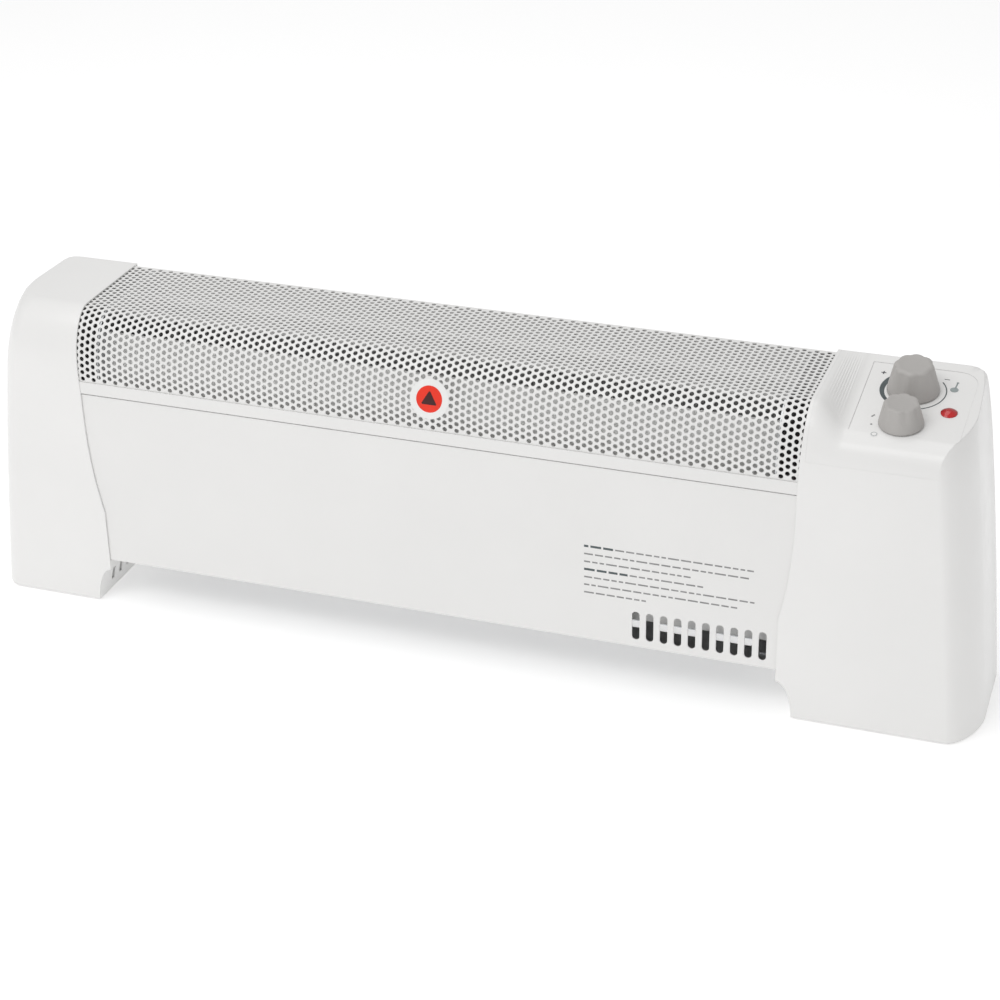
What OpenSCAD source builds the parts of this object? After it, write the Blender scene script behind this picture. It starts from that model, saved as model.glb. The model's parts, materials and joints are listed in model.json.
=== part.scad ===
// Portable electric baseboard heater: two moulded end caps joined by a sheet-steel convector body.
// +X runs along the heater to the control end, -Y is the front, +Z is up, and z = 0 is the floor.

/* [Body] */
// Clear length of steel body between the end caps, at the top
window_w = 539.4; // [440:0.1:640]
// Depth from front to back
body_d = 106; // [96:1:120]
// Height above the floor
body_h = 237; // [225:1:250]
// Depth of the rounded top front corner
corner_d = 27; // [20:1:34]
// Height of the rounded top front corner
corner_h = 48.5; // [40:0.5:54]
// Height of the gap between grille and front panel
split_z = 175.5; // [168:0.5:182]
// Height of the bottom edge of the steel body
panel_z = 37.5; // [34:0.5:44]

/* [End caps] */
// Length of the left cap at the top
left_top_w = 61.6; // [55:0.1:75]
// Length of the left cap at the floor
left_base_w = 93.3; // [85:0.1:105]
// Length of the right cap at the top
right_top_w = 103.8; // [98:0.1:115]
// Length of the right cap at the floor
right_base_w = 129.5; // [122:0.1:140]
// Wall thickness of the mouldings
cap_wall = 2.5; // [2:0.1:3]

/* [Controls] */
// Forward tilt of the control facet, in degrees
facet_tilt = 9.6; // [7:0.1:11]
// Radius of the thermostat knob's skirt
thermostat_knob_r = 17.7; // [16:0.1:19]
// Height of the thermostat knob
thermostat_knob_h = 21; // [17:0.5:23]
// Radius of the selector knob's skirt
selector_knob_r = 15.1; // [13:0.1:16]
// Height of the selector knob
selector_knob_h = 16.5; // [13:0.5:18]
// Radius of both control shafts
shaft_r = 3; // [2.5:0.5:3.5]
// Radius of the pilot lamp's lens
lens_r = 5.6; // [4.5:0.1:6.5]

/* [Heating element] */
// Height of the element's axis
element_z = 96; // [85:1:110]
// Number of fins
fin_count = 34; // [20:1:36]
// Radius of the sheathed rod
rod_r = 4; // [3:0.5:5]

/* [Mains inlet] */
// Radius of the hole through the cord bush
cord_hole_r = 3.6; // [3:0.1:4]

/* [Hidden] */

$fn = 48;
eps = 0.01;
half_w = window_w / 2;
front_y = -body_d / 2;
back_y = body_d / 2;
arc_z = body_h - corner_h;
// The control end is longer, so the middle of the steel body lies left of the origin
middle_x = (left_base_w - right_base_w) / 2;
cap_foot_z = 1.5;
pad_h = 2;
cover_h = 2.5;

// Steel sheets lie just under the caps' thin rebated edges
sheet = 0.8;
sheet_inset = 1.2;
lip = 1.1;
lip_end = half_w + 12;
top_lip_end = half_w + 1.5;
sheet_half = half_w + 10;
grille_half = half_w + 0.8;
rear_top = body_h - 24.5;
bulkhead_u = 252;

// Outline of the caps' inner edges
seam_lean = 2.1;
waist_u = half_w - 11.4;
knee_z = 79;
waist_power = 2.6;
foot_arc_u = 12;
foot_arc_z = 29;

// Plan shape of the caps' outer sides
side_power = 0.7;
plan_corner_u = 21;
plan_corner_y = 40;
plan_power = 1.7;
back_corner_r = 6;
top_edge_r = 5;

// Control facet: its left and right edges and what sits on it, measured from the body's middle.
// The cap's top leans forward more and more from the seam to the facet, whose overlay bed is a shallow recess.
// The facet's front edge is rounded off between brow_y and brow_a degrees up the front corner.
lean_steps = 14;
lean_u0 = half_w + 2.5;
lean_step = 0.06;
brow_steps = 10;
brow_y = -33;
brow_a = 15;
bed_depth = 0.4;
bed_back = 9;
facet_u0 = 296.6;
facet_u1 = 369.5;
facet_corner_r = 14;
thermostat_at = [328.9, 16.4];
selector_at = [328.7, -22.8];
lamp_at = [356.8, -4.3];
knob_gap = 0.6;
running_gap = 0.05;
shaft_hole_gap = 1;
thermostat_depth = 22;
selector_depth = 20;
bracket_drop = 8;
bracket_t = 1.2;

element_bend_u = bulkhead_u + 8;
rod_spread = 12;
fin_size = [0.6, 46, 58];
fin_span = 440;
bushing_r = 6.5;

switch_at = [338, 14, 40];
pendulum_len = 21;
pendulum_bob_r = 7;
pin_r = 1.5;

terminal_at = [300, 41.4, 70];
cord_at = [372, 34];
bush_len = 12;
label_at = [6, 206];
label_r = 14.5;

// ---------- shared shapes ----------

module at_middle() translate([middle_x, 0, 0]) children();
module on_left() at_middle() mirror([1, 0, 0]) children();

// A closed skin through rings of points, all with the same count and listed from the first to the last
module loft(rings) {
    n = len(rings[0]);
    last = (len(rings) - 1) * n;
    polyhedron(
        points = [for (ring = rings) for (p = ring) p],
        faces = concat(
            [for (k = [0 : len(rings) - 2], i = [0 : n - 1]) [k * n + i, (k + 1) * n + i, k * n + (i + 1) % n]],
            [for (k = [0 : len(rings) - 2], i = [0 : n - 1])
                [k * n + (i + 1) % n, (k + 1) * n + i, (k + 1) * n + (i + 1) % n]],
            [[for (i = [0 : n - 1]) i]],
            [[for (i = [n - 1 : -1 : 0]) last + i]]));
}

// Smooth curve through a few points
function curve_point(a, b, c, d, t) =
    0.5 * (2 * b + (c - a) * t + (2 * a - 5 * b + 4 * c - d) * t * t + (3 * b - a - 3 * c + d) * t * t * t);
function curve(pts, steps) = concat(
    [for (i = [0 : len(pts) - 2], k = [0 : steps - 1])
        curve_point(pts[max(i - 1, 0)], pts[i], pts[i + 1], pts[min(i + 2, len(pts) - 1)], k / steps)],
    [pts[len(pts) - 1]]);

function unit(v) = v / norm(v);

// Round lead along a smooth curve; side_dir is any direction that the lead never runs along
module lead(pts, r, side_dir) {
    path = curve(pts, 5);
    n = len(path);
    loft([for (i = [0 : n - 1])
        let (along = unit(path[min(i + 1, n - 1)] - path[max(i - 1, 0)]),
             across = unit(cross(along, side_dir)), third = cross(along, across))
        [for (a = [0 : 45 : 315]) path[i] + r * (cos(a) * across + sin(a) * third)]]);
}

// Pan-head screw with a slot, its head's underside at z = 0 and its shank along -Z
module screw(head_r = 3, shank_r = 1.5, len = 8) {
    difference() {
        union() {
            cylinder(r1 = head_r, r2 = head_r * 0.8, h = head_r * 0.6);
            translate([0, 0, -len]) cylinder(r = shank_r, h = len + eps);
        }
        translate([-head_r, -0.4, head_r * 0.3]) cube([2 * head_r, 0.8, head_r]);
    }
}

module screws_at(points, direction, head_r = 3, shank_r = 1.5, len = 8) {
    for (p = points) translate(p) rotate(direction) screw(head_r, shank_r, len);
}

// Vertical slot with round ends, cut along Y
module upright_slot(w, h, depth) {
    rotate([90, 0, 0]) linear_extrude(height = depth, center = true) {
        translate([0, h / 2 - w / 2]) circle(d = w, $fn = 24);
        translate([0, w / 2 - h / 2]) circle(d = w, $fn = 24);
        square([w, h - w], center = true);
    }
}

// ---------- body profile, in (y, z) ----------

// Front and top outline from height z0 up to the rounded corner and back, set in by t
function outline(t, z0) = concat(
    [[front_y + t, z0]],
    [for (a = [0 : 7.5 : 90])
        [front_y + corner_d - (corner_d - t) * cos(a), arc_z + (corner_h - t) * sin(a)]]);

// Solid with a (y, z) outline, from u0 to u1 along X
module along_x(u0, u1) {
    translate([u0, 0, 0]) rotate([90, 0, 90]) linear_extrude(height = u1 - u0) children();
}

module filled_profile(t, z0) {
    polygon(concat(outline(t, z0), [[back_y - t, body_h - t], [back_y - t, z0]]));
}

// ---------- end caps ----------

function side_u(z, top_w, base_w) =
    half_w + top_w + (base_w - top_w) * pow(max(0, body_h - z) / body_h, side_power);

function edge_round(z, top) = z < top - top_edge_r ? 0
    : top_edge_r - sqrt(max(0, pow(top_edge_r, 2) - pow(z - top + top_edge_r, 2)));

// One level outline of a cap, set in by t, whose front edge is at y = f
function cap_ring(z, f, t, u0, top_w, base_w) =
    let (s = side_u(z, top_w, base_w) - t - edge_round(z, body_h - t), b = back_y - t,
         cu = plan_corner_u - t, cy = plan_corner_y - t)
    concat(
        [[u0, f, z]],
        [for (a = [0 : 10 : 90])
            [s - cu + cu * pow(sin(a), 2 / plan_power), f + cy - cy * pow(cos(a), 2 / plan_power), z]],
        [for (a = [0 : 30 : 90])
            [s - back_corner_r * (1.25 - cos(a)), b - back_corner_r * (1 - sin(a)), z]],
        [[u0, b, z]]);

// Outer shape of a cap set in by t, from u0 outwards and z0 upwards
module cap_form(t, u0, z0, top_w, base_w) {
    loft(concat(
        [for (k = [0 : 5]) cap_ring(z0 + (arc_z - z0) * k / 6, front_y + t, t, u0, top_w, base_w)],
        [for (a = [0 : 7.5 : 90])
            cap_ring(arc_z + (corner_h - t) * sin(a), front_y + corner_d - (corner_d - t) * cos(a),
                     t, u0, top_w, base_w)]));
}

function seam_u(z) = z > split_z ? half_w - seam_lean * (body_h - z) / (body_h - split_z)
    : z > knee_z ? half_w - seam_lean
        - (half_w - seam_lean - waist_u) * pow((split_z - z) / (split_z - knee_z), waist_power)
    : waist_u;

// Everything outside the caps' inner edges, moved outwards by t
module beyond_seam(t, top = body_h + 1) {
    seam_levels = [for (z = [top : -8 : foot_arc_z]) z];
    rotate([90, 0, 0]) linear_extrude(height = body_d + 2, center = true) polygon(concat(
        [[half_w + 200, top]],
        [for (z = seam_levels) [seam_u(z) + t, z]],
        [for (a = [90 : -10 : 0]) [waist_u + foot_arc_u * cos(a) + t, foot_arc_z * sin(a)]],
        [[waist_u + foot_arc_u + t, -5], [half_w + 200, -5]]));
}

module cap_shell(top_w, base_w) {
    difference() {
        intersection() {
            cap_form(0, half_w - 30, cap_foot_z, top_w, base_w);
            beyond_seam(0);
        }
        children();
        // Rebate that the sheets slide into
        intersection() {
            cap_form(lip, half_w - 31, cap_foot_z - 3, top_w, base_w);
            union() {
                translate([half_w - 32, -body_d, panel_z - 1])
                    cube([top_lip_end - half_w + 32, 2 * body_d, body_h]);
                translate([half_w - 32, -body_d, panel_z - 1])
                    cube([lip_end - half_w + 32, 2 * body_d, split_z - panel_z + 1]);
                translate([half_w - 32, 0, panel_z - 1])
                    cube([lip_end - half_w + 32, body_d, rear_top - panel_z + 1]);
            }
        }
    }
}

// Room inside a cap, with the foot's inner wall left standing
module cap_cavity(top_w, base_w) {
    cap_form(cap_wall, half_w - 31, panel_z - 1, top_w, base_w);
    intersection() {
        cap_form(cap_wall, half_w - 31, cap_foot_z - 3, top_w, base_w);
        beyond_seam(cap_wall);
        translate([0, -body_d, -5]) cube([half_w + 200, 2 * body_d, panel_z + 4.5]);
    }
}

// Ventilation slots in the inner wall of a foot
module foot_slots() {
    for (y = [-32 : 12 : 28]) translate([waist_u - 5, y - 2, 9]) cube([foot_arc_u + 12, 4, 17]);
}

module left_end_cap() {
    color("whitesmoke") on_left() difference() {
        cap_shell(left_top_w, left_base_w) cap_cavity(left_top_w, left_base_w);
        foot_slots();
    }
}

// Places children on the floor of the overlay bed, with +Z square to it
module on_facet(at, drop = 0) {
    translate([at[0], at[1], body_h - bed_depth - (back_y - at[1]) * tan(facet_tilt)])
        rotate([facet_tilt, 0, 0]) translate([0, 0, -drop]) children();
}

// Facet's rounded front edge as (y, z) points from the front upwards, set in by t
function brow(t) =
    let (slope = tan(facet_tilt), high = [brow_y, body_h - (back_y - brow_y) * slope - t],
         low = [front_y + corner_d - (corner_d - t) * cos(brow_a), arc_z + (corner_h - t) * sin(brow_a)],
         rise = [(corner_d - t) * sin(brow_a), (corner_h - t) * cos(brow_a)],
         turn = low + rise * (high[1] - low[1] - slope * (high[0] - low[0])) / (rise[1] - slope * rise[0]))
    [for (k = [0 : brow_steps]) let (s = k / brow_steps)
        (1 - s) * (1 - s) * low + 2 * s * (1 - s) * turn + s * s * high];

// The same stretch of the plain front corner
function plain_brow(t) = [for (k = [0 : brow_steps])
    let (a = brow_a + (90 - brow_a) * k / brow_steps)
    [front_y + corner_d - (corner_d - t) * cos(a), arc_z + (corner_h - t) * sin(a)]];

// Everything above the leaning top, set in by t
module above_lean(t) {
    reach = 2;
    inset = t + lean_step;
    function section(u, f) =
        let (edge = f * brow(inset) + (1 - f) * plain_brow(inset))
        [for (p = concat([[front_y - 10, edge[0][1] - 3]], edge,
                         [[back_y + reach, body_h - inset + f * reach * tan(facet_tilt)],
                          [back_y + reach, body_h + 30], [front_y - 10, body_h + 30]]))
            [u, p[0], p[1]]];
    loft(concat(
        [for (k = [0 : lean_steps]) let (s = k / lean_steps)
            section(lean_u0 + (facet_u0 - 1.3 - lean_u0) * s, s * s * (3 - 2 * s))],
        [section(half_w + 200, 1)]));
}

module overlay_bed() {
    on_facet([facet_u0, back_y - bed_back]) linear_extrude(height = 20) {
        width = facet_u1 - facet_u0;
        translate([0, -body_d]) square([width, body_d - facet_corner_r]);
        translate([0, -body_d]) square([width - facet_corner_r, body_d]);
        translate([width - facet_corner_r, -facet_corner_r]) circle(r = facet_corner_r);
    }
}

module right_end_cap() {
    color("whitesmoke") at_middle() difference() {
        // One faceted skin, kept at its own size
        resize([0, 0, 0]) difference() {
            cap_shell(right_top_w, right_base_w) difference() {
                cap_cavity(right_top_w, right_base_w);
                above_lean(cap_wall);
            }
            above_lean(0);
            overlay_bed();
        }
        foot_slots();
        on_facet(thermostat_at, 10) cylinder(r = shaft_r + shaft_hole_gap, h = 20);
        on_facet(selector_at, 10) cylinder(r = shaft_r + shaft_hole_gap, h = 20);
        on_facet(lamp_at, 10) cylinder(r = lens_r - 1, h = 20);
        translate([cord_at[0], back_y - 6, cord_at[1]]) rotate([-90, 0, 0]) cylinder(r = cord_hole_r + 2, h = 12);
    }
}

module base_cover(top_w, base_w) {
    difference() {
        intersection() {
            cap_form(cap_wall + 0.2, half_w - 31, pad_h, top_w, base_w);
            beyond_seam(cap_wall + 0.2);
            translate([0, -body_d, pad_h]) cube([half_w + 200, 2 * body_d, cover_h]);
        }
        for (y = [-18 : 9 : 18]) translate([half_w + 22, y - 2, 0]) cube([30, 4, 10]);
    }
}

module left_base_cover() color("gainsboro") on_left() base_cover(left_top_w, left_base_w);
module right_base_cover() color("gainsboro") at_middle() base_cover(right_top_w, right_base_w);

module foot_pads(length) {
    for (u = [half_w + 16, half_w + length - 26], y = [-33, 34])
        translate([u, y, 0]) cylinder(r = 7, h = pad_h);
}

module left_foot_pads() color("dimgray") on_left() foot_pads(left_base_w);
module right_foot_pads() color("dimgray") at_middle() foot_pads(right_base_w);

// ---------- sheet-steel body ----------

// Cover sheet bent over the top, with returns at its front and back edges
module grille() {
    t = sheet_inset;
    color("white") at_middle() along_x(-grille_half, grille_half) {
        polygon(concat(
            outline(t, split_z + 0.5), [[back_y - t, body_h - t], [back_y - t, rear_top + 0.5]],
            [[back_y - t - sheet, rear_top + 0.5], [back_y - t - sheet, body_h - t - sheet]],
            [for (i = [len(outline(0, 0)) - 1 : -1 : 0]) outline(t + sheet, split_z + 0.5 + sheet)[i]],
            [[front_y + t + 7, split_z + 0.5 + sheet], [front_y + t + 7, split_z + 0.5]]));
    }
}

// Slots for the electrical end's cooling air
vent_count = 10;
vent_pitch = 10.13;
vent_first_u = 157;
vent_size = [5.5, 22.5];
vent_z = 54.6;

module front_panel() {
    y0 = front_y + sheet_inset;
    top = split_z - 0.5;
    color("whitesmoke") at_middle() difference() {
        along_x(-sheet_half, sheet_half) polygon([
            [y0, panel_z], [y0, top], [y0 + 9, top], [y0 + 9, top - sheet], [y0 + sheet, top - sheet],
            [y0 + sheet, panel_z + sheet], [y0 + 12, panel_z + sheet], [y0 + 12, panel_z]]);
        for (k = [0 : vent_count - 1])
            translate([vent_first_u + k * vent_pitch, y0, vent_z]) upright_slot(vent_size[0], vent_size[1], 6);
    }
}

module rear_panel() {
    y1 = back_y - sheet_inset;
    top = rear_top - 0.5;
    color("whitesmoke") at_middle() difference() {
        along_x(-sheet_half, sheet_half) polygon([
            [y1, panel_z], [y1, top], [y1 - 8, top], [y1 - 8, top - sheet],
            [y1 - sheet, top - sheet], [y1 - sheet, panel_z + sheet], [y1 - 12, panel_z + sheet],
            [y1 - 12, panel_z]]);
        for (k = [0 : 23]) translate([(k - 11.5) * 20, y1, 62]) upright_slot(6, 28, 6);
    }
}

module base_plate() {
    color("silver") at_middle() difference() {
        translate([-bulkhead_u - 4, front_y + 4, panel_z + sheet]) cube([2 * bulkhead_u + 8, body_d - 8, 1]);
        for (k = [0 : 11], y = [-24, 0, 24])
            translate([(k - 5.5) * 40 - 15, y - 5, panel_z]) cube([30, 10, 5]);
    }
}

module bulkhead() {
    base = panel_z + sheet + 1;
    difference() {
        union() {
            along_x(bulkhead_u, bulkhead_u + 1) filled_profile(sheet_inset + sheet, base);
            translate([bulkhead_u - 9, front_y + 16, base]) cube([9.5, body_d - 32, 1]);
            translate([bulkhead_u - 9, back_y - 3, 70]) cube([9.5, 1, 110]);
        }
        for (y = [-rod_spread, rod_spread])
            translate([bulkhead_u - 1, y, element_z]) rotate([0, 90, 0]) cylinder(r = bushing_r, h = 4);
        // Notches for the sheets' inner returns
        translate([bulkhead_u - 1, front_y, split_z - 3]) cube([4, 13, 6]);
        translate([bulkhead_u - 1, back_y - 11, rear_top - 3]) cube([4, 12, 6]);
    }
}

module left_bulkhead() color("silver") on_left() bulkhead();
module right_bulkhead() {
    color("silver") at_middle() difference() {
        bulkhead();
        for (z = [60, 150]) translate([bulkhead_u - 1, 32, z]) rotate([0, 90, 0]) cylinder(r = 4, h = 4);
    }
}

// Sheet that keeps the hot air off the front panel, its top edge bent back under the grille
module front_shield() {
    y0 = front_y + 14;
    color("lightgray") at_middle() along_x(-bulkhead_u + 0.5, bulkhead_u - 0.5) polygon([
        [y0, 52], [y0, 200], [y0 + 7, 219], [y0 + 7.9, 218.7], [y0 + sheet, 199.8], [y0 + sheet, 52]]);
}

// Sheet that turns the rising air forward and up through the grille
module rear_deflector() {
    y1 = back_y - 12;
    color("lightgray") at_middle() along_x(-bulkhead_u + 0.5, bulkhead_u - 0.5) polygon([
        [y1, 52], [y1, 168], [y1 - 38, 222], [y1 - 56, 226], [y1 - 56, 225.1], [y1 - 38.5, 221.2],
        [y1 - sheet, 167.7], [y1 - sheet, 52]]);
}

// ---------- heating element ----------

module element_rod() {
    bend_x = -element_bend_u;
    color("dimgray") at_middle() {
        for (y = [-rod_spread, rod_spread]) translate([bend_x, y, element_z]) rotate([0, 90, 0])
            cylinder(r = rod_r, h = 2 * element_bend_u + 6);
        translate([bend_x, 0, element_z]) rotate([0, 0, 90])
            rotate_extrude(angle = 180) translate([rod_spread, 0]) circle(r = rod_r);
    }
}

module element_fins() {
    color("silver") at_middle() for (k = [0 : fin_count - 1])
        translate([(k / (fin_count - 1) - 0.5) * fin_span, 0, element_z]) difference() {
            cube(fin_size, center = true);
            for (y = [-rod_spread, rod_spread]) translate([-1, y, 0]) rotate([0, 90, 0])
                cylinder(r = rod_r, h = 2);
            for (z = [-18, 18]) translate([0, 0, z]) cube([2, 26, 6], center = true);
        }
}

module element_bushings() {
    color("antiquewhite") at_middle() for (side = [-1, 1], y = [-rod_spread, rod_spread])
        translate([side * (bulkhead_u + 0.5), y, element_z]) rotate([0, 90, 0]) difference() {
            union() {
                cylinder(r = bushing_r, h = 9, center = true);
                translate([0, 0, -side * 2]) cylinder(r = bushing_r + 2, h = 2.8, center = true);
            }
            cylinder(r = rod_r, h = 12, center = true);
        }
}

module element_terminals() {
    color("goldenrod") at_middle() for (y = [-rod_spread, rod_spread])
        translate([element_bend_u + 6, y, element_z]) rotate([0, 90, 0]) {
            cylinder(r = 1.8, h = 10);
            cylinder(r = 4, h = 2.5, $fn = 6);
            translate([-2.5, -0.5, 4]) cube([5, 1, 9]);
        }
}

module overheat_cutout() {
    color("dimgray") at_middle() translate([bulkhead_u + 1, -30, 130]) rotate([0, 90, 0]) {
        cylinder(r = 8, h = 7);
        translate([-11.5, -3, 0]) cube([23, 6, 0.8]);
        for (y = [-5, 5]) translate([-3, y - 0.4, 6]) cube([6, 0.8, 9]);
    }
}

module thermal_fuse() {
    color("gainsboro") at_middle() translate([bulkhead_u + 4, 18, 136]) rotate([90, 0, 0]) {
        cylinder(r = 2, h = 12);
        translate([0, 0, -3]) cylinder(r = 0.6, h = 18);
        translate([-3, -3, 4]) cube([1.5, 6, 4]);
    }
}

// ---------- controls ----------

module control_bracket() {
    size = [62, 68];
    color("silver") at_middle() difference() {
        on_facet([facet_u0 + 33, 2], bracket_drop + bracket_t) {
            translate([-size[0] / 2, -size[1] / 2, 0]) cube([size[0], size[1], bracket_t]);
            for (u = [-size[0] / 2, size[0] / 2 - bracket_t])
                translate([u, -size[1] / 2, 0]) cube([bracket_t, size[1], bracket_drop + bracket_t - cap_wall]);
        }
        on_facet(thermostat_at, 20) cylinder(r = 5, h = 20);
        on_facet(selector_at, 20) cylinder(r = 5, h = 20);
        on_facet(lamp_at, 20) cylinder(r = 5, h = 20);
    }
}

// Switch housing under the bracket, with a threaded neck that the shaft turns in
module rotary_body(size, neck_h) {
    difference() {
        union() {
            translate([-size[0] / 2, -size[1] / 2, -size[2]]) cube(size);
            cylinder(r = 4.9, h = neck_h);
        }
        translate([0, 0, -size[2] + 4]) cylinder(r = shaft_r + running_gap, h = size[2] + neck_h);
    }
}

module tags(points, size) {
    for (p = points) translate(p) cube(size, center = true);
}

module thermostat_body() {
    color("saddlebrown") at_middle() on_facet(thermostat_at, bracket_drop + bracket_t) {
        rotary_body([30, 26, thermostat_depth], bracket_drop - 1.5);
        tags([[-17.5, 0, -10], [-17.5, 0, -18]], [6, 6, 0.8]);
    }
}

// Blade that bends with the room's warmth, beside the thermostat
module thermostat_bimetal() {
    color("peru") at_middle() on_facet(thermostat_at, bracket_drop + bracket_t) {
        translate([15, -4, -20]) cube([3, 8, 4]);
        translate([18, -3.5, -19.5]) rotate([0, -4, 0]) cube([0.8, 7, 17]);
    }
}

module shaft(depth, reach) {
    translate([0, 0, 4.5 - depth]) cylinder(r = shaft_r, h = depth - 4.5 + reach);
}

module thermostat_shaft() {
    color("silver") at_middle() on_facet(thermostat_at, bracket_drop + bracket_t)
        shaft(thermostat_depth, bracket_drop + bracket_t + thermostat_knob_h - 6);
}

// Tapered knob whose round skirt turns into soft finger lobes at the top, with a blind shaft bore
module lobed_knob(r_base, r_top, h, reach) {
    lobes = 8;
    lobe_depth = 0.09;
    levels = 9;
    difference() {
        loft([for (k = [0 : levels])
            let (s = min(1, k / (levels - 2)), soft = max(0, k - levels + 2),
                 z = knob_gap + (h - 1.2) * s + 0.8 * soft * (1.75 - soft / 2),
                 r = r_base + (r_top - r_base) * s - 0.6 * soft * soft)
            [for (a = [7.5 : 7.5 : 360])
                let (q = r * (1 - lobe_depth * s * s * (0.5 - 0.5 * cos(lobes * a)))) [q * cos(a), q * sin(a), z]]]);
        translate([0, 0, -1]) cylinder(r = shaft_r + running_gap, h = reach + 1);
    }
}

module thermostat_knob() {
    color("darkgray") at_middle() on_facet(thermostat_at)
        lobed_knob(thermostat_knob_r, thermostat_knob_r * 0.77, thermostat_knob_h, thermostat_knob_h - 5.5);
}

module selector_switch() {
    color("dimgray") at_middle() on_facet(selector_at, bracket_drop + bracket_t) {
        rotary_body([26, 26, selector_depth], bracket_drop - 1.5);
        tags([[-8, 0, -22.5], [0, 0, -22.5], [8, 0, -22.5]], [0.8, 6, 6]);
    }
}

module selector_shaft() {
    color("silver") at_middle() on_facet(selector_at, bracket_drop + bracket_t)
        shaft(selector_depth, bracket_drop + bracket_t + selector_knob_h - 6);
}

module selector_knob() {
    color("darkgray") at_middle() on_facet(selector_at)
        lobed_knob(selector_knob_r, selector_knob_r * 0.8, selector_knob_h, selector_knob_h - 5.5);
}

// Domed lens with a neck through the facet
module lamp_lens() {
    dome_h = 2.6;
    dome_r = (lens_r * lens_r + dome_h * dome_h) / (2 * dome_h);
    color("firebrick") at_middle() on_facet(lamp_at) {
        intersection() {
            translate([0, 0, dome_h - dome_r]) sphere(r = dome_r);
            cylinder(r = lens_r, h = dome_h + 1);
        }
        translate([0, 0, -cap_wall - 2]) cylinder(r = lens_r - 1.2, h = cap_wall + 2.5);
    }
}

module lamp_body() {
    color("gray") at_middle() on_facet(lamp_at, cap_wall + 24) {
        cylinder(r = lens_r - 1.2, h = 22);
        for (x = [-2, 2]) translate([x, 0, -5]) cylinder(r = 0.5, h = 6);
    }
}

// ---------- mains inlet and wiring ----------

module terminal_block() {
    size = [44, 18, 16];
    color("ivory") at_middle() translate(terminal_at) difference() {
        translate([-size[0] / 2, -size[1] / 2, 0]) cube(size);
        for (k = [-1.5 : 1 : 1.5]) {
            translate([k * 10, -4, 8]) cylinder(r = 3, h = 20);
            translate([k * 10, 4, 8]) cylinder(r = 3, h = 20);
            translate([k * 10, 0, 5]) rotate([90, 0, 0]) cylinder(r = 2.2, h = 30, center = true);
        }
    }
}

module terminal_screws() {
    color("goldenrod") at_middle() for (k = [-1.5 : 1 : 1.5], y = [-4, 4])
        translate(terminal_at + [k * 10, y, 10.5]) screw(2.6, 1.4, 2.5);
}

module cord_bush() {
    color("dimgray") at_middle() translate([cord_at[0], back_y, cord_at[1]]) rotate([-90, 0, 0]) difference() {
        union() {
            translate([0, 0, -bush_len + 2]) cylinder(r = cord_hole_r + 2, h = bush_len);
            cylinder(r = cord_hole_r + 4, h = 2);
            translate([0, 0, -cap_wall - 2]) cylinder(r = cord_hole_r + 3.4, h = 2);
        }
        translate([0, 0, -bush_len]) cylinder(r = cord_hole_r, h = bush_len + 4);
    }
}

module cord_clamp() {
    size = [24, 8, 5];
    foot_h = cord_at[1] - pad_h - cover_h;
    color("gainsboro") at_middle() translate([cord_at[0], 26, cord_at[1]]) difference() {
        union() {
            translate([-size[0] / 2, -size[1] / 2, 1.5]) cube(size);
            translate([-size[0] / 2, -size[1] / 2, -foot_h]) cube([size[0], size[1], foot_h - 1.5]);
            for (x = [-8, 8]) translate([x, 0, -8]) cylinder(r = 1.8, h = 17);
        }
        rotate([90, 0, 0]) cylinder(r = cord_hole_r, h = 20, center = true);
    }
}

module live_wires() {
    r = 1.4;
    color("firebrick") at_middle() {
        lead([[315, 38, 75], [315, 30, 75], [315.5, 25, 78], [318, 12, 100], [322, -5, 135], [326, -18, 172],
              [328.7, -17, 188.3]], r, [1, 0, 0]);
        lead([[320.7, -17, 188.3], [312, -8, 172], [300, 8, 184], [306, 19.4, 211.5]], r, [1, 0.5, 1]);
        lead([[306, 20.7, 204], [294, 8, 176], [284, -18, 148], [269.5, -25, 130]], r, [0.3, 1, 0]);
        lead([[269.5, -35, 130], [288, -36, 118], [290, -20, 98], [281, -12, 96]], r, [1, 0.4, -0.6]);
    }
}

module neutral_wires() {
    color("steelblue") at_middle() {
        lead([[305, 38, 75], [305, 30, 75], [303.5, 25.5, 77.5], [292, 13, 91], [281, 12, 96]], 1.4, [0, 1, 2]);
        lead([[295, 38, 75], [295, 30, 75], [296.5, 26, 78.5], [307, 22, 98], [340, 20, 150], [356.8, 1.5, 193.5]],
             1.2, [1, 0, 0]);
    }
}

module earth_wire() {
    color("yellowgreen") at_middle()
        lead([[285, 38, 75], [285, 30, 75], [284, 25, 73.5], [279, 12, 65], [268, 0, 60], [253.2, -4, 60]], 1.4,
             [0, 0.3, 1]);
}

// ---------- tip-over switch ----------

// Open frame on the base cover; the bob hangs from a pin and swings when the heater leans
module tip_switch_frame() {
    color("gray") at_middle() translate(switch_at) difference() {
        union() {
            for (x = [-9, 7]) translate([x, -15, -35.5]) cube([2, 30, 41]);
            translate([-9, -15, -35.5]) cube([18, 30, 2.5]);
        }
        rotate([0, 90, 0]) cylinder(r = pin_r, h = 30, center = true);
    }
}

module tip_switch_pin() {
    color("silver") at_middle() translate(switch_at) rotate([0, 90, 0]) {
        cylinder(r = pin_r, h = 20, center = true);
        for (side = [-1, 1]) translate([0, 0, side * 10.4]) cylinder(r = pin_r + 1, h = 0.8, center = true);
    }
}

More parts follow.
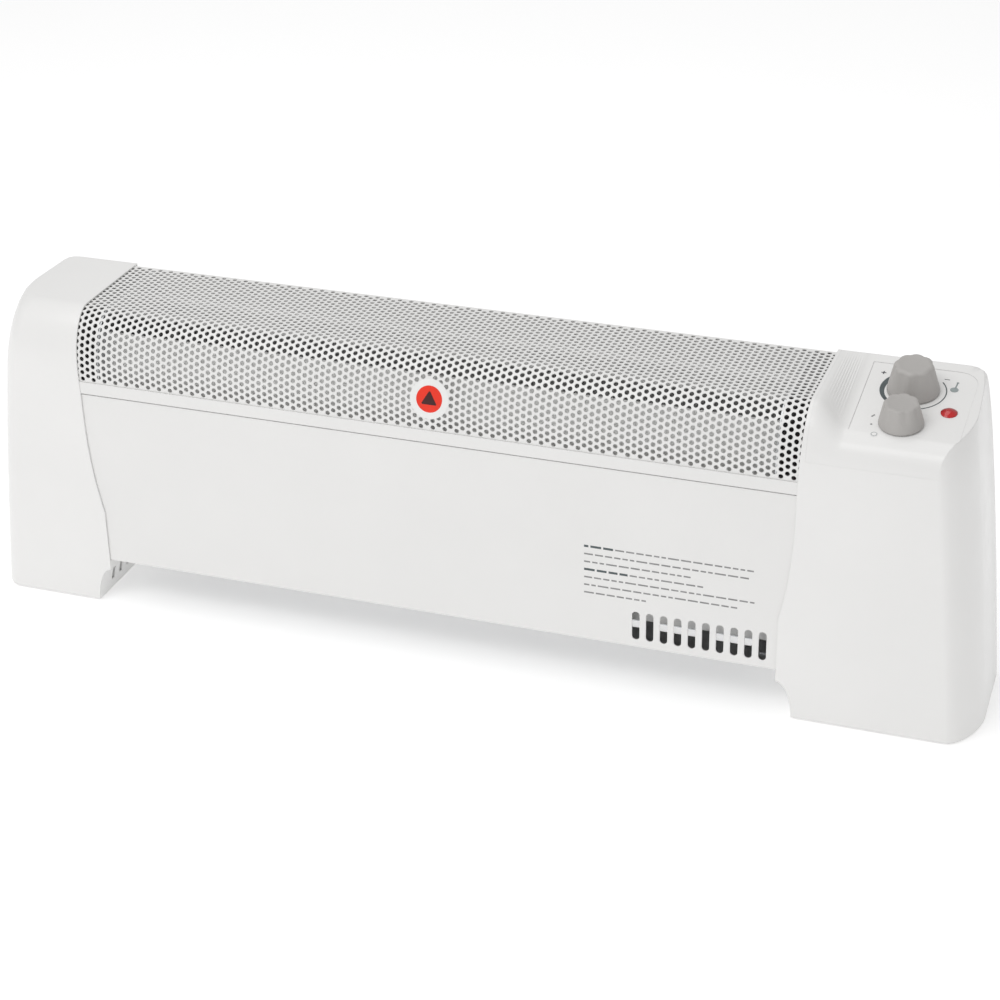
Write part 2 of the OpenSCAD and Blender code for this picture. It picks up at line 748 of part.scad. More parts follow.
module tip_switch_pendulum() {
    color("goldenrod") at_middle() translate(switch_at) difference() {
        union() {
            rotate([0, 90, 0]) cylinder(r = pin_r + 2.5, h = 8, center = true);
            translate([-2, -2, -pendulum_len]) cube([4, 4, pendulum_len - pin_r - 1]);
            translate([0, 0, -pendulum_len]) rotate([0, 90, 0])
                cylinder(r = pendulum_bob_r, h = 10, center = true);
        }
        rotate([0, 90, 0]) cylinder(r = pin_r + running_gap, h = 30, center = true);
    }
}

module tip_switch_contact() {
    color("dimgray") at_middle() translate(switch_at + [9, -8, -26]) {
        cube([8, 16, 12]);
        translate([8, 2, 3]) cube([6, 0.8, 5]);
        translate([8, 13, 3]) cube([6, 0.8, 5]);
    }
}

// ---------- fasteners and label ----------

// Three screws along the rear edge of each cap
module cap_screws() {
    for (u = [half_w + 18], z = [60, 130, 205]) {
        color("silver") at_middle() screws_at([[u, back_y, z]], [-90, 0, 0]);
        color("silver") on_left() screws_at([[u, back_y, z]], [-90, 0, 0]);
    }
}

module cover_screws() {
    color("silver") at_middle() screws_at(
        [[half_w + 60, -30, pad_h], [half_w + 60, 34, pad_h], [half_w + 14, 0, pad_h]], [180, 0, 0], 2.8, 1.3, 7);
    color("silver") on_left() screws_at(
        [[half_w + 40, -36, pad_h], [half_w + 40, 38, pad_h], [half_w + 14, 0, pad_h]], [180, 0, 0], 2.8, 1.3, 7);
}

module panel_screws() {
    color("silver") at_middle()
        screws_at([for (x = [-240 : 120 : 240], z = [45, 205]) [x, back_y - sheet_inset, z]], [-90, 0, 0], 2.8, 1.3, 6);
}

module control_screws() {
    color("silver") at_middle() {
        on_facet(thermostat_at, bracket_drop) screws_at([[-11, 0, 0], [11, 0, 0]], [0, 0, 0], 2.4, 1.2, 5);
        on_facet(selector_at, bracket_drop) screws_at([[-9.5, 0, 0], [9.5, 0, 0]], [0, 0, 0], 2.4, 1.2, 5);
    }
}

// Round sticker that follows the curve of the grille
module warning_disc() {
    thick = 0.25;
    top = arc_z + corner_h * 0.8;
    color("orangered") at_middle() intersection() {
        translate([label_at[0], front_y - 5, label_at[1]]) rotate([-90, 0, 0]) cylinder(r = label_r, h = 30);
        along_x(label_at[0] - label_r - 1, label_at[0] + label_r + 1) difference() {
            filled_profile(sheet_inset - thick, split_z);
            filled_profile(sheet_inset, split_z - 1);
        }
        translate([-body_h, front_y, split_z]) cube([2 * body_h, 20, top - split_z]);
    }
}

left_end_cap();
right_end_cap();
left_base_cover();
right_base_cover();
left_foot_pads();
right_foot_pads();
grille();
front_panel();
rear_panel();
base_plate();
left_bulkhead();
right_bulkhead();
front_shield();
rear_deflector();
element_rod();
element_fins();
element_bushings();
element_terminals();
overheat_cutout();
thermal_fuse();
control_bracket();
thermostat_body();
thermostat_bimetal();
thermostat_shaft();
thermostat_knob();
selector_switch();
selector_shaft();
selector_knob();
lamp_lens();
lamp_body();
terminal_block();
terminal_screws();
cord_bush();
cord_clamp();
tip_switch_frame();
tip_switch_pin();
tip_switch_pendulum();
tip_switch_contact();
live_wires();
neutral_wires();
earth_wire();
cap_screws();
cover_screws();
panel_screws();
control_screws();
warning_disc();
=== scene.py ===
"""Looks for the baseboard heater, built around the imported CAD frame. Lengths are in metres."""
import math

import bmesh
import bpy
import numpy as np
from mathutils import Matrix, Vector
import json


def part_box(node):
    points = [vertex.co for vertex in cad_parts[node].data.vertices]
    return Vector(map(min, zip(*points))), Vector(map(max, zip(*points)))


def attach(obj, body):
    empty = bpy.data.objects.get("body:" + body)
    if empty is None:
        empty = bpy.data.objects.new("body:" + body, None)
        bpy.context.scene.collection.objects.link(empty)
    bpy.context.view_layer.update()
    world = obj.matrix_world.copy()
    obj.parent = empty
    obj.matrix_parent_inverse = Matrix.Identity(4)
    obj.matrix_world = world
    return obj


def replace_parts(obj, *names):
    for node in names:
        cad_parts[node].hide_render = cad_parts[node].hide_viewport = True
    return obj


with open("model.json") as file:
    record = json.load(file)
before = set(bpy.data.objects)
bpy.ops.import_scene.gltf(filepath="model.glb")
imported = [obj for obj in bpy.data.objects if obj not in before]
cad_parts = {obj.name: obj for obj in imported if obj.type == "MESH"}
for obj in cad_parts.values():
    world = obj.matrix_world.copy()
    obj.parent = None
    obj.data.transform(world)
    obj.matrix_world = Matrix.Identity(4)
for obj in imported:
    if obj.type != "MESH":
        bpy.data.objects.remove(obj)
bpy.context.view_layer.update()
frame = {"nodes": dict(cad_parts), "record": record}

MM = 0.001

# ---------- where the CAD is ----------

grille_low, grille_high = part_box("grille")
MIDDLE_X = (grille_low.x + grille_high.x) / 2
SHEET_HALF = (grille_high.x - grille_low.x) / 2
FRONT_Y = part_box("right_end_cap")[0].y
BACK_Y = -FRONT_Y
TOP_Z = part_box("left_end_cap")[1].z
CORNER_DEPTH = 27 * MM
CORNER_HEIGHT = 48.5 * MM
ARC_Z = TOP_Z - CORNER_HEIGHT
SHEET = 0.8 * MM
SHEET_INSET = grille_low.y - FRONT_Y
FACET_TILT = math.radians(9.6)
BED_DEPTH = 0.4 * MM
CAD_SMOOTH_ANGLE = math.radians(28)
CAD_WELD = 0.002 * MM


# ---------- materials ----------

def new_material(name):
    mat = bpy.data.materials.new(name)
    mat.use_nodes = True
    shader = mat.node_tree.nodes["Principled BSDF"]
    return mat, mat.node_tree.nodes, mat.node_tree.links, shader


def noise(nodes, links, scale, detail=3.0, stretch=None):
    """Noise in object space, stretched along an axis where one is given."""
    coord = nodes.new("ShaderNodeTexCoord")
    tex = nodes.new("ShaderNodeTexNoise")
    tex.inputs["Scale"].default_value = scale
    tex.inputs["Detail"].default_value = detail
    if stretch is None:
        links.new(coord.outputs["Object"], tex.inputs["Vector"])
    else:
        mapping = nodes.new("ShaderNodeMapping")
        mapping.inputs["Scale"].default_value = stretch
        links.new(coord.outputs["Object"], mapping.inputs["Vector"])
        links.new(mapping.outputs["Vector"], tex.inputs["Vector"])
    return tex.outputs["Fac"]


def ramp(nodes, links, value, low, high, start=0.3, end=0.7):
    """Colour or grey that runs from low to high as value goes from start to end."""
    node = nodes.new("ShaderNodeValToRGB")
    for element, colour, place in zip(node.color_ramp.elements, (low, high), (start, end)):
        element.color = (*colour, 1) if len(colour) == 3 else colour
        element.position = place
    links.new(value, node.inputs["Fac"])
    return node.outputs["Color"]


def shade(colour, factor):
    return tuple(min(1.0, c * factor) for c in colour)


def surface(name, colour, roughness, spread=0.05, metallic=0.0, grain=900.0, bump=0.02,
            blotch=12.0, stretch=None, edge=0.0, coat=0.0, vary=0.025):
    """Moulded, painted or metal surface: blotches of colour, uneven gloss and a fine grain."""
    mat, nodes, links, shader = new_material(name)
    patches = noise(nodes, links, blotch, 4.0, stretch)
    links.new(ramp(nodes, links, patches, shade(colour, 1 - vary), shade(colour, 1 + vary)),
              shader.inputs["Base Color"])
    gloss = noise(nodes, links, blotch * 5, 4.0, stretch)
    low, high = roughness - spread, roughness + spread
    links.new(ramp(nodes, links, gloss, (low,) * 3, (high,) * 3), shader.inputs["Roughness"])
    shader.inputs["Metallic"].default_value = metallic
    if coat:
        shader.inputs["Coat Weight"].default_value = coat
        shader.inputs["Coat Roughness"].default_value = 0.12
    relief = nodes.new("ShaderNodeBump")
    relief.inputs["Strength"].default_value = bump
    relief.inputs["Distance"].default_value = 0.2 * MM
    links.new(noise(nodes, links, grain, 2.0, stretch), relief.inputs["Height"])
    if edge:
        rounding = nodes.new("ShaderNodeBevel")
        rounding.inputs["Radius"].default_value = edge
        rounding.samples = 4
        links.new(rounding.outputs["Normal"], relief.inputs["Normal"])
    links.new(relief.outputs["Normal"], shader.inputs["Normal"])
    return mat


def lens_material():
    """Clear red plastic whose colour, by facing, carries a painted glow of light through the centre and a
    painted darker shade at the rim.
    """
    mat, nodes, links, shader = new_material("lens_red")
    facing = nodes.new("ShaderNodeLayerWeight")
    facing.inputs["Blend"].default_value = 0.35
    painted_glow_red, painted_rim_shade_red = (0.55, 0.004, 0.006), (0.16, 0.0, 0.001)
    # Painted light: brighter red where the lens faces the viewer, and painted darker shade towards its rim
    links.new(ramp(nodes, links, facing.outputs["Facing"], painted_glow_red, painted_rim_shade_red, 0.1, 0.9),
              shader.inputs["Base Color"])
    gloss = ramp(nodes, links, noise(nodes, links, 300), (0.08,) * 3, (0.14,) * 3)
    links.new(gloss, shader.inputs["Roughness"])
    shader.inputs["Coat Weight"].default_value = 0.5
    shader.inputs["Subsurface Weight"].default_value = 0.05
    shader.inputs["Subsurface Radius"].default_value = (2 * MM, 0.2 * MM, 0.2 * MM)
    relief = nodes.new("ShaderNodeBump")
    relief.inputs["Strength"].default_value = 0.05
    relief.inputs["Distance"].default_value = 0.1 * MM
    links.new(noise(nodes, links, 400, 1.0), relief.inputs["Height"])
    links.new(relief.outputs["Normal"], shader.inputs["Normal"])
    return mat


ALONG = (0.05, 1, 1)
MATERIALS = {
    "cap_plastic": surface("cap_plastic", (0.83, 0.825, 0.815), 0.34, grain=1400, bump=0.05, edge=0.8 * MM,
                           coat=0.15, vary=0.012),
    "cover_plastic": surface("cover_plastic", (0.6, 0.6, 0.59), 0.5, grain=1200, bump=0.08),
    # Near-black rubber; on the foot pads under the caps it also stands in for the contact shadow along their
    # lower front edges, so it is partly painted shade
    "rubber": surface("rubber", (0.03, 0.03, 0.032), 0.75, grain=700, bump=0.25, vary=0.2),
    "white_steel": surface("white_steel", (0.80, 0.795, 0.785), 0.38, grain=2200, bump=0.08, edge=0.3 * MM,
                           coat=0.1, vary=0.012),
    "zinc_steel": surface("zinc_steel", (0.55, 0.56, 0.57), 0.38, metallic=1, blotch=60, grain=800, bump=0.1,
                          vary=0.2),
    "aluminised_steel": surface("aluminised_steel", (0.86, 0.86, 0.85), 0.42, metallic=0.35, blotch=30,
                                stretch=ALONG, bump=0.05, vary=0.08),
    "rod_steel": surface("rod_steel", (0.16, 0.14, 0.13), 0.42, metallic=0.9, blotch=80,
                         stretch=ALONG, vary=0.35),
    "fin_aluminium": surface("fin_aluminium", (0.75, 0.75, 0.76), 0.3, metallic=1, blotch=40, vary=0.1),
    "ceramic_white": surface("ceramic_white", (0.82, 0.79, 0.72), 0.25, blotch=90, bump=0.05, vary=0.05),
    "brass": surface("brass", (0.72, 0.52, 0.22), 0.3, metallic=1, blotch=120, vary=0.15),
    "dark_plastic": surface("dark_plastic", (0.03, 0.03, 0.033), 0.45, bump=0.1, vary=0.2),
    "fuse_white": surface("fuse_white", (0.8, 0.79, 0.75), 0.45, bump=0.1, vary=0.04),
    "phenolic": surface("phenolic", (0.1, 0.045, 0.02), 0.4, blotch=70, bump=0.1, vary=0.25),
    "bimetal": surface("bimetal", (0.7, 0.42, 0.26), 0.28, metallic=1, blotch=80, vary=0.12),
    "shaft_steel": surface("shaft_steel", (0.62, 0.62, 0.62), 0.28, metallic=1, blotch=120, vary=0.1),
    "knob_plastic": surface("knob_plastic", (0.43, 0.415, 0.40), 0.46, grain=1600, bump=0.12, edge=0.5 * MM,
                            vary=0.03),
    "lens_red": lens_material(),
    "lamp_housing": surface("lamp_housing", (0.6, 0.6, 0.58), 0.45, bump=0.08),
    "wire_live": surface("wire_live", (0.42, 0.02, 0.015), 0.4, blotch=90, bump=0.05, vary=0.12),
    "wire_neutral": surface("wire_neutral", (0.03, 0.1, 0.4), 0.4, blotch=90, bump=0.05, vary=0.12),
    "wire_earth": surface("wire_earth", (0.2, 0.42, 0.03), 0.4, blotch=90, bump=0.05, vary=0.12),
    "screw_steel": surface("screw_steel", (0.6, 0.6, 0.6), 0.3, metallic=1, blotch=200, vary=0.12),
    "label_red": surface("label_red", (0.84, 0.028, 0.006), 0.5, blotch=60, bump=0.04, vary=0.05),
}
label_white = surface("label_white", (0.84, 0.84, 0.83), 0.4, blotch=60, bump=0.04, vary=0.02)
label_dark = surface("label_dark", (0.05, 0.004, 0.004), 0.45, blotch=60, bump=0.04, vary=0.2)
print_slate = surface("print_slate", (0.075, 0.095, 0.10), 0.5, blotch=150, bump=0.04, vary=0.15)
print_grey = surface("print_grey", (0.26, 0.26, 0.26), 0.55, blotch=150, bump=0.04, vary=0.15)
print_pale = surface("print_pale", (0.30, 0.34, 0.34), 0.5, blotch=150, bump=0.04, vary=0.1)
print_dark = surface("print_dark", (0.09, 0.09, 0.10), 0.55, blotch=150, bump=0.04, vary=0.15)


def dress_cad_nodes():
    """Gives every CAD node its slot's material and smooth shading over shallow edges."""
    slots = {part["node"]: part["material_slot"] for part in frame["record"]["subparts"]}
    for name, node in frame["nodes"].items():
        node.data.materials.clear()
        node.data.materials.append(MATERIALS[slots[name]])
        for face in node.data.polygons:
            face.use_smooth = True
            face.material_index = 0
        if "custom_normal" in node.data.attributes:
            node.data.attributes.remove(node.data.attributes["custom_normal"])
        weld = node.modifiers.new("weld", "WELD")
        weld.merge_threshold = CAD_WELD
        split = node.modifiers.new("split", "EDGE_SPLIT")
        split.split_angle = CAD_SMOOTH_ANGLE


# ---------- mesh helpers ----------

def make_piece(name, verts, faces, mat, body="heater", smooth_angle=30, solidify=None):
    """Mesh object from points in metres, riding on a body."""
    mesh = bpy.data.meshes.new(name)
    mesh.from_pydata([tuple(map(float, v)) for v in verts], [], faces)
    bm = bmesh.new()
    bm.from_mesh(mesh)
    bmesh.ops.recalc_face_normals(bm, faces=bm.faces)
    bm.to_mesh(mesh)
    bm.free()
    mesh.materials.append(mat)
    for face in mesh.polygons:
        face.use_smooth = True
    mesh.set_sharp_from_angle(angle=math.radians(smooth_angle))
    piece = bpy.data.objects.new(name, mesh)
    bpy.context.scene.collection.objects.link(piece)
    if solidify:
        thick = piece.modifiers.new("thick", "SOLIDIFY")
        thick.thickness = solidify
        thick.offset = -1
        rims = piece.modifiers.new("rims", "EDGE_SPLIT")
        rims.split_angle = math.radians(smooth_angle)
    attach(piece, body)
    return piece


def loft(rings, close=True):
    """Points and faces of a skin through rings of points with the same count."""
    n = len(rings[0])
    verts = [p for ring in rings for p in ring]
    faces = [[k * n + i, k * n + (i + 1) % n, (k + 1) * n + (i + 1) % n, (k + 1) * n + i]
             for k in range(len(rings) - 1) for i in range(n)]
    if close:
        faces.append(list(range(n))[::-1])
        faces.append([(len(rings) - 1) * n + i for i in range(n)])
    return verts, faces


# ---------- body profile ----------

REAR_RETURN = 24 * MM


def profile_samples(inset=SHEET_INSET, bend=1.5 * MM):
    """Outer line of the sheet body in (y, z): grille's lower edge, corner, top and a way down the back."""
    points = [(FRONT_Y + inset, grille_low.z), (FRONT_Y + inset, ARC_Z)]
    for k in range(1, 61):
        a = math.radians(90 * k / 60)
        points.append((FRONT_Y + CORNER_DEPTH - (CORNER_DEPTH - inset) * math.cos(a),
                       ARC_Z + (CORNER_HEIGHT - inset) * math.sin(a)))
    back, top = BACK_Y - inset, TOP_Z - inset
    for k in range(9):
        a = math.radians(90 * k / 8)
        points.append((back - bend + bend * math.sin(a), top - bend + bend * math.cos(a)))
    points.append((back, TOP_Z - REAR_RETURN))
    return np.array(points)


PROFILE = profile_samples()
STEPS = np.hypot(*np.diff(PROFILE, axis=0).T)
ALONG_S = np.concatenate([[0], np.cumsum(STEPS)])


def on_profile(x, s, lift=0.0):
    """Point of the sheet body at x, a length s along the profile, raised by lift."""
    y = np.interp(s, ALONG_S, PROFILE[:, 0])
    z = np.interp(s, ALONG_S, PROFILE[:, 1])
    d = 0.5 * MM
    dy = np.interp(s + d, ALONG_S, PROFILE[:, 0]) - np.interp(s - d, ALONG_S, PROFILE[:, 0])
    dz = np.interp(s + d, ALONG_S, PROFILE[:, 1]) - np.interp(s - d, ALONG_S, PROFILE[:, 1])
    size = math.hypot(dy, dz)
    return (x, y - lift * dz / size, z + lift * dy / size)


# ---------- perforated grille ----------

PITCH = 5.1 * MM
COLUMN = PITCH * math.sqrt(3) / 2
HOLE_R = 0.335 * PITCH
FIRST_ROW = 11.9 * MM
ROWS = 27
COLUMNS_EACH_SIDE = 61
HOLE_SIDES = 12


RETURN_DEPTH = 7 * MM


def build_grille():
    """Perforated sheet in six-sided cells, each with a hole, and plain strips around them."""
    verts, faces, index = [], [], {}
    low_s = FIRST_ROW - PITCH / 2
    high_s = FIRST_ROW + (ROWS - 0.5) * PITCH
    end_x = COLUMNS_EACH_SIDE * COLUMN + PITCH / math.sqrt(3)

    def vertex(x, s):
        x = min(max(x, -end_x), end_x)
        s = min(max(s, low_s), high_s)
        key = (round(x * 1e7), round(s * 1e7))
        if key not in index:
            index[key] = len(verts)
            verts.append(on_profile(MIDDLE_X + x, s))
        return index[key]

    def around(x, s, r, count):
        return [vertex(x + r * math.cos(2 * math.pi * k / count), s + r * math.sin(2 * math.pi * k / count))
                for k in range(count)]

    for j in range(-COLUMNS_EACH_SIDE - 1, COLUMNS_EACH_SIDE + 2):
        odd = j % 2
        first = -1 if odd else 0
        for i in range(first, ROWS):
            x, s = j * COLUMN, FIRST_ROW + (i + 0.5 * odd) * PITCH
            cell = around(x, s, PITCH / math.sqrt(3), 6)
            holed = abs(j) <= COLUMNS_EACH_SIDE and (not odd or 0 <= i < ROWS - 1)
            if not holed:
                unique = list(dict.fromkeys(cell))
                if len(unique) > 2:
                    faces.append(unique)
                continue
            hole = around(x, s, HOLE_R, HOLE_SIDES)
            for k in range(6):
                a, b, c = hole[2 * k], hole[2 * k + 1], hole[(2 * k + 2) % HOLE_SIDES]
                faces.append([cell[k], cell[(k + 1) % 6], b])
                faces.append([cell[k], b, a])
                faces.append([cell[(k + 1) % 6], c, b])

    def strip(x0, x1, levels):
        base = len(verts)
        for s in levels:
            verts.append(on_profile(MIDDLE_X + x0, s))
            verts.append(on_profile(MIDDLE_X + x1, s))
        for k in range(len(levels) - 1):
            faces.append([base + 2 * k, base + 2 * k + 1, base + 2 * k + 3, base + 2 * k + 2])

    strip(-SHEET_HALF, SHEET_HALF, [0, low_s])
    strip(-SHEET_HALF, SHEET_HALF, [high_s] + [s for s in ALONG_S if s > high_s])
    sides = [low_s] + [s for s in ALONG_S if low_s < s < high_s] + [high_s]
    strip(-SHEET_HALF, -end_x, sides)
    strip(end_x, SHEET_HALF, sides)
    # Return folded in behind the lower edge
    base = len(verts)
    for x in (-SHEET_HALF, SHEET_HALF):
        for y in (0, RETURN_DEPTH):
            verts.append((MIDDLE_X + x, grille_low.y + y, grille_low.z))
    faces.append([base, base + 1, base + 3, base + 2])
    piece = make_piece("grille_sheet", verts, faces, MATERIALS["white_steel"],
                       smooth_angle=35, solidify=SHEET)
    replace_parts(piece, "grille")


# ---------- controls ----------

def facet_place(u, y, lift=0.0):
    """Matrix from the control facet's own axes, +Z square to it, to the row frame."""
    z = TOP_Z - BED_DEPTH - (BACK_Y - y * MM) * math.tan(FACET_TILT)
    base = Matrix.Translation((MIDDLE_X + u * MM, y * MM, z)) @ Matrix.Rotation(FACET_TILT, 4, "X")
    return base @ Matrix.Translation((0, 0, lift))


# Places on the facet in millimetres from the body's middle
THERMOSTAT = (328.9, 16.4)
SELECTOR = (328.7, -22.8)
LAMP = (356.8, -4.3)
LENS_R = 5.6 * MM
KNOB_GAP = 0.6 * MM
KNOB_UNDER_CAD = 0.15 * MM
THERMOSTAT_TOP_SHARE = 0.77
SELECTOR_TOP_SHARE = 0.8


def build_knob(name, node, body, at, top_share, edge):
    """Tapered knob: eight soft finger lobes at the top that fade into a round skirt."""
    low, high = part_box(node)
    r_base = (high.x - low.x) / 2
    r_top = r_base * top_share
    place = facet_place(*at)
    to_facet = place.inverted()
    height = max((to_facet @ v.co).z for v in frame["nodes"][node].data.vertices) - KNOB_UNDER_CAD
    around, levels = 128, 16
    # Height, change of radius and share of the taper at each level, from the skirt's rim upwards
    stations = [(KNOB_GAP, -0.5 * MM, 0), (KNOB_GAP + 0.15 * MM, -0.15 * MM, 0), (KNOB_GAP + 0.5 * MM, 0, 0)]
    rim = stations[-1][0]
    stations += [(rim + (height - edge - rim) * k / levels, 0, k / levels) for k in range(1, levels + 1)]
    stations += [(height - edge + edge * math.sin(math.radians(a)),
                  -edge * (1 - math.cos(math.radians(a))), 1) for a in range(15, 91, 15)]
    rings = []
    for z, shrink, s in stations:
        radius = r_base + (r_top - r_base) * s ** 1.1
        depth = 0.11 * max(0.0, s - 0.12) ** 1.2
        ring = []
        for k in range(around):
            a = 2 * math.pi * k / around
            lobe = math.sqrt(math.cos(4 * a) ** 2 + 0.03)
            q = radius * (1 - depth * (1.015 - lobe)) + shrink
            ring.append(place @ Vector((q * math.cos(a), q * math.sin(a), z)))
        rings.append(ring)
    # Slightly dished top face
    outer = rings[-1]
    centre = place @ Vector((0, 0, height))
    for scale, dip in ((0.93, 0.05), (0.85, 0.22), (0.6, 0.35), (0.3, 0.4), (0.05, 0.4)):
        sunk = place.to_3x3() @ Vector((0, 0, dip * MM))
        rings.append([centre + (p - centre) * scale - sunk for p in outer])
    verts, faces = loft(rings)
    piece = make_piece(name, verts, faces, MATERIALS["knob_plastic"], body, 38)
    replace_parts(piece, node)


def build_lens():
    """Domed lens with a short straight rim and a neck through the facet."""
    place = facet_place(*LAMP)
    radius, dome, rim = LENS_R, 2.6 * MM, 0.5 * MM
    curve_r = (radius ** 2 + (dome - rim) ** 2) / (2 * (dome - rim))
    rings = [(radius * 0.8, -4.5 * MM), (radius * 0.8, 0), (radius, 0), (radius, rim * 0.7)]
    for k in range(13):
        r = radius * math.cos(math.radians(6 + 6.8 * k))
        rings.append((r, rim + math.sqrt(curve_r ** 2 - r ** 2) - (curve_r - (dome - rim))))
    loops = [[place @ Vector((r * math.cos(2 * math.pi * k / 48), r * math.sin(2 * math.pi * k / 48), z))
              for k in range(48)] for r, z in rings]
    verts, faces = loft(loops)
    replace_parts(make_piece("pilot_lens", verts, faces, MATERIALS["lens_red"]), "lamp_lens")


def print_shapes(name, shapes, place, mat, thick=0.12 * MM):
    """Thin printed shapes on a plane: closed outlines in millimetres, each a slab of its own."""
    verts, faces = [], []
    for outline in shapes:
        base, n = len(verts), len(outline)
        for z in (0.02 * MM, thick):
            verts += [place @ Vector((x * MM, y * MM, z)) for x, y in outline]
        faces += [[base + k, base + (k + 1) % n, base + n + (k + 1) % n, base + n + k] for k in range(n)]
        faces += [[base + k for k in range(n)][::-1], [base + n + k for k in range(n)]]
    return make_piece(name, verts, faces, mat, smooth_angle=20)


def bar(x, y, length, width, angle=0.0):
    """Rectangle about (x, y), turned by angle in degrees."""
    a = math.radians(angle)
    c, s = math.cos(a), math.sin(a)
    p, q = length / 2, width / 2
    return [(x + c * i - s * j, y + s * i + c * j) for i, j in ((-p, -q), (p, -q), (p, q), (-p, q))]


def arc_band(x, y, r_out, thickness, start, end, steps=60):
    """Band inside a circle whose thickness is a function of the share of the way round, in short quads."""
    shapes = []
    for k in range(steps):
        t0, t1 = k / steps, (k + 1) / steps
        quad = []
        for t, inner in ((t0, False), (t1, False), (t1, True), (t0, True)):
            a = math.radians(start + (end - start) * t)
            r = r_out - (thickness(t) if inner else 0)
            quad.append((x + r * math.cos(a), y + r * math.sin(a)))
        shapes.append(quad)
    return shapes


def disc(x, y, r, sides=32):
    """Round outline."""
    return [(x + r * math.cos(2 * math.pi * k / sides), y + r * math.sin(2 * math.pi * k / sides))
            for k in range(sides)]


def build_markings():
    """Tapering heat ring with a plus, a minus and a thermometer, and a dash, a dot and a circle."""
    ring_place = facet_place(*THERMOSTAT)
    wedge = arc_band(0, 0, 22.4, lambda t: 0.75 + 3.6 * max(0.0, 1 - t / 0.62) ** 1.1, 146, 398)
    print_shapes("heat_scale", wedge, ring_place, print_slate)
    signs = [bar(-23.3, 16.6, 3.4, 0.8), bar(-23.3, 16.6, 0.8, 3.4), bar(19.6, 17.4, 3.6, 0.55)]
    print_shapes("heat_signs", signs, ring_place, print_dark)
    thermometer = [disc(26.3, 6.4, 2.8), bar(26.9, 11.4, 6.8, 1.0, 86), disc(27.2, 15.0, 0.85, 16)]
    print_shapes("warmth_mark", thermometer, ring_place, print_pale)
    switch_place = facet_place(*SELECTOR)
    high = [bar(-19.6, 5.0, 3.1, 1.1, 58)]
    low = [disc(-18.8, -4.8, 0.75, 20)]
    off = arc_band(-14.8, -15.2, 2.1, lambda t: 0.3, 0, 360)
    print_shapes("switch_marks", high + low, switch_place, print_grey)
    print_shapes("switch_off_mark", off, switch_place, print_pale, 0.1 * MM)


# ---------- sticker and print on the body ----------

LABEL_U = 6 * MM
LABEL_S = 32.5 * MM


def curved_patch(name, outline_rings, lift, mat):
    """Patch of film that follows the grille, from rings of (x, s) offsets that shrink to its middle."""
    rings = [[on_profile(MIDDLE_X + LABEL_U + dx, LABEL_S + ds, lift) for dx, ds in ring]
             for ring in outline_rings]
    verts, faces = loft(rings, close=False)
    last = (len(rings) - 1) * len(rings[0])
    faces.append([last + k for k in range(len(rings[0]))])
    return make_piece(name, verts, faces, mat, smooth_angle=60, solidify=0.06 * MM)


def round_rings(r, sides=64):
    """Circles about (0, 0) that shrink to the middle."""
    return [[(q * r * math.cos(2 * math.pi * k / sides), q * r * math.sin(2 * math.pi * k / sides))
             for k in range(sides)] for q in (1, 0.85, 0.7, 0.5, 0.3, 0.1, 0.01)]


def build_sticker():
    """Round warning sticker: pale backing, red disc and a plain dark triangle."""
    backing = curved_patch("sticker_backing", round_rings(14.4 * MM), 0.10 * MM, label_white)
    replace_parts(backing, "warning_disc")
    curved_patch("sticker_red", round_rings(9.6 * MM), 0.17 * MM, MATERIALS["label_red"])
    corners = [(0, 6.3), (-6.0, -3.9), (6.0, -3.9)]
    edge = []
    for (x0, y0), (x1, y1) in zip(corners, corners[1:] + corners[:1]):
        edge += [((x0 + (x1 - x0) * t), (y0 + (y1 - y0) * t)) for t in (0.08, 0.3, 0.5, 0.7, 0.92)]
    rings = [[(x * q * MM, y * q * MM) for x, y in edge] for q in (1, 0.7, 0.4, 0.1)]
    curved_patch("sticker_triangle", rings, 0.24 * MM, label_dark)


# Printed notice in millimetres: left edge, height of its first row, gap between rows and where each row ends
NOTICE_LEFT = 119.0
NOTICE_TOP = 112.6
ROW_PITCH = 6.15
ROW_ENDS = (240.3, 237, 196, 205, 241.5, 232, 168)
HEADING_ENDS = {0: 137, 3: 152}
DASH_GAP = 1.5


def build_notice():
    """Plain grey dashes in rows where a printed notice goes: no letters."""
    place = Matrix(((1, 0, 0, MIDDLE_X), (0, 0, -1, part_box("front_panel")[0].y), (0, 1, 0, 0), (0, 0, 0, 1)))
    thin, bold = [], []
    for row, right in enumerate(ROW_ENDS):
        z = NOTICE_TOP - ROW_PITCH * row
        x, dash = NOTICE_LEFT, 0
        while x < right - 3:
            length = min(3.2 + 4.6 * ((dash * 7 + row * 5) % 8) / 7, right - x)
            if x < HEADING_ENDS.get(row, 0):
                bold.append(bar(x + length / 2, z, length, 1.7))
            else:
                thin.append(bar(x + length / 2, z, length, 1.15))
            x += length + DASH_GAP
            dash += 1
    print_shapes("notice_lines", thin, place, print_grey, 0.06 * MM)
    print_shapes("notice_headings", bold, place, print_slate, 0.06 * MM)


# ---------- stage ----------

def build_stage():
    """Plain floor that glows a little, so that it stays evenly pale."""
    mesh = bpy.data.meshes.new("floor")
    size = 9.0
    corners = [(-size, -size, 0), (size, -size, 0), (size, size, 0), (-size, size, 0)]
    mesh.from_pydata(corners, [], [[0, 1, 2, 3]])
    floor = bpy.data.objects.new("floor", mesh)
    bpy.context.scene.collection.objects.link(floor)
    white = surface("floor_white", (0.88, 0.88, 0.88), 0.9, blotch=1.5, bump=0.0, vary=0.005)
    glow = white.node_tree.nodes["Principled BSDF"].inputs
    glow["Emission Color"].default_value = (1, 1, 1, 1)
    glow["Emission Strength"].default_value = 0.34
    mesh.materials.append(white)


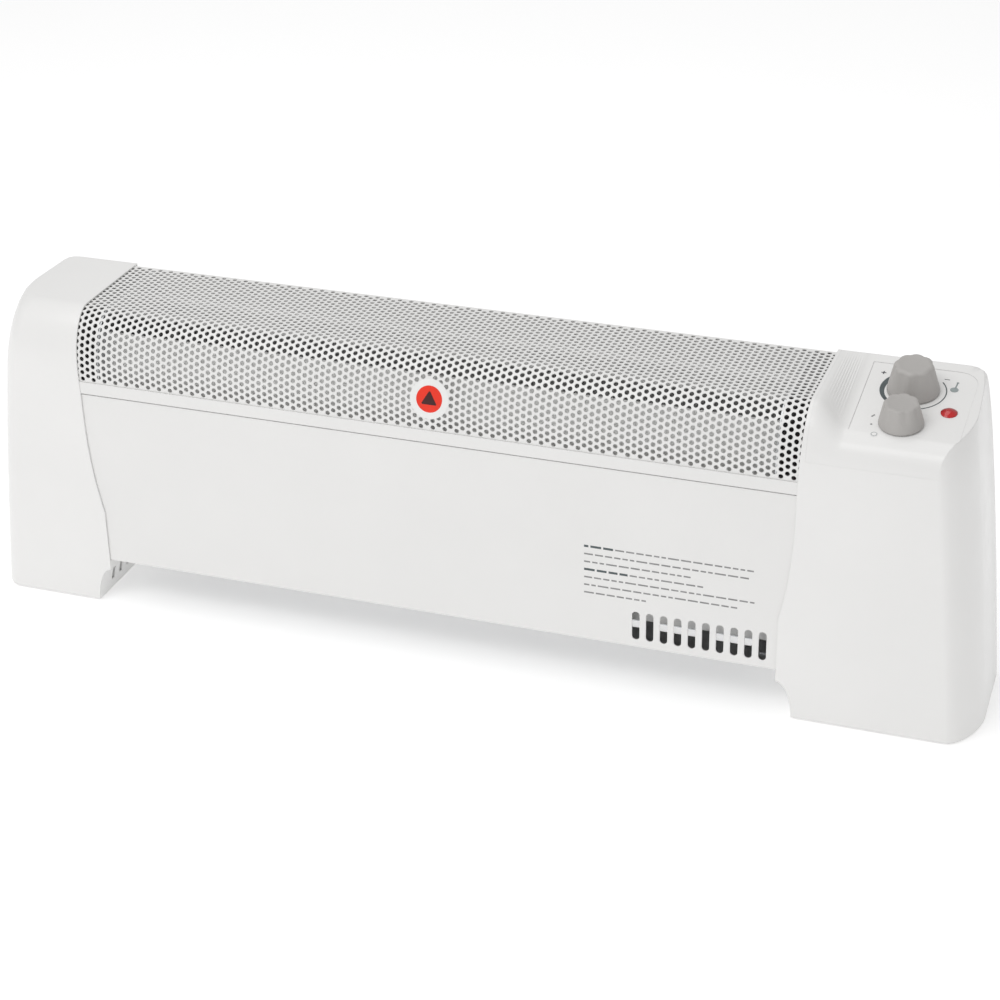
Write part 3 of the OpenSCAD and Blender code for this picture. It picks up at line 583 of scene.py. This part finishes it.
def area_light(name, place, target, size, size_y, power):
    """Rectangular light at a place, turned to a target."""
    data = bpy.data.lights.new(name, "AREA")
    data.energy = power
    data.shape = "RECTANGLE"
    data.size = size
    data.size_y = size_y
    lamp = bpy.data.objects.new(name, data)
    lamp.location = place
    lamp.rotation_euler = (Vector(target) - Vector(place)).to_track_quat("-Z", "Y").to_euler()
    bpy.context.scene.collection.objects.link(lamp)


def build_lights():
    """Even white surroundings, a soft light from the front left and one from above."""
    world = bpy.data.worlds.new("studio")
    world.use_nodes = True
    world.node_tree.nodes["Background"].inputs["Color"].default_value = (1, 1, 1, 1)
    world.node_tree.nodes["Background"].inputs["Strength"].default_value = 0.57
    bpy.context.scene.world = world
    area_light("key", (-0.6, -1.4, 2.0), (0, 0, 0.15), 1.6, 0.9, 14)
    area_light("top", (-0.3, 0.1, 2.2), (0, 0, 0.1), 2.0, 1.2, 10)


def build_camera():
    """Camera from the heater's right and above, turned and tilted by fitted angles."""
    yaw, pitch, roll = (math.radians(a) for a in (20.12257, 27.83456, -1.245466))
    ahead = Vector((-math.sin(yaw) * math.cos(pitch), math.cos(yaw) * math.cos(pitch), -math.sin(pitch)))
    level = Vector((math.cos(yaw), math.sin(yaw), 0))
    upright = level.cross(ahead)
    right = math.cos(roll) * level + math.sin(roll) * upright
    up = -math.sin(roll) * level + math.cos(roll) * upright
    data = bpy.data.cameras.new("camera")
    data.lens = 84.97
    data.sensor_width = 36
    camera = bpy.data.objects.new("camera", data)
    camera.matrix_world = Matrix.Translation((MIDDLE_X + 0.5593, FRONT_Y - 1.3684, 0.9089)) @ Matrix(
        (right, up, -ahead)).transposed().to_4x4()
    bpy.context.scene.collection.objects.link(camera)
    bpy.context.scene.camera = camera


dress_cad_nodes()
build_grille()
build_knob("thermostat_knob_shell", "thermostat_knob", "thermostat_control",
           THERMOSTAT, THERMOSTAT_TOP_SHARE, 2.8 * MM)
build_knob("selector_knob_shell", "selector_knob", "selector_control",
           SELECTOR, SELECTOR_TOP_SHARE, 1.9 * MM)
build_lens()
build_markings()
build_sticker()
build_notice()
build_stage()
build_lights()
build_camera()
bpy.context.scene.view_settings.view_transform = "Standard"
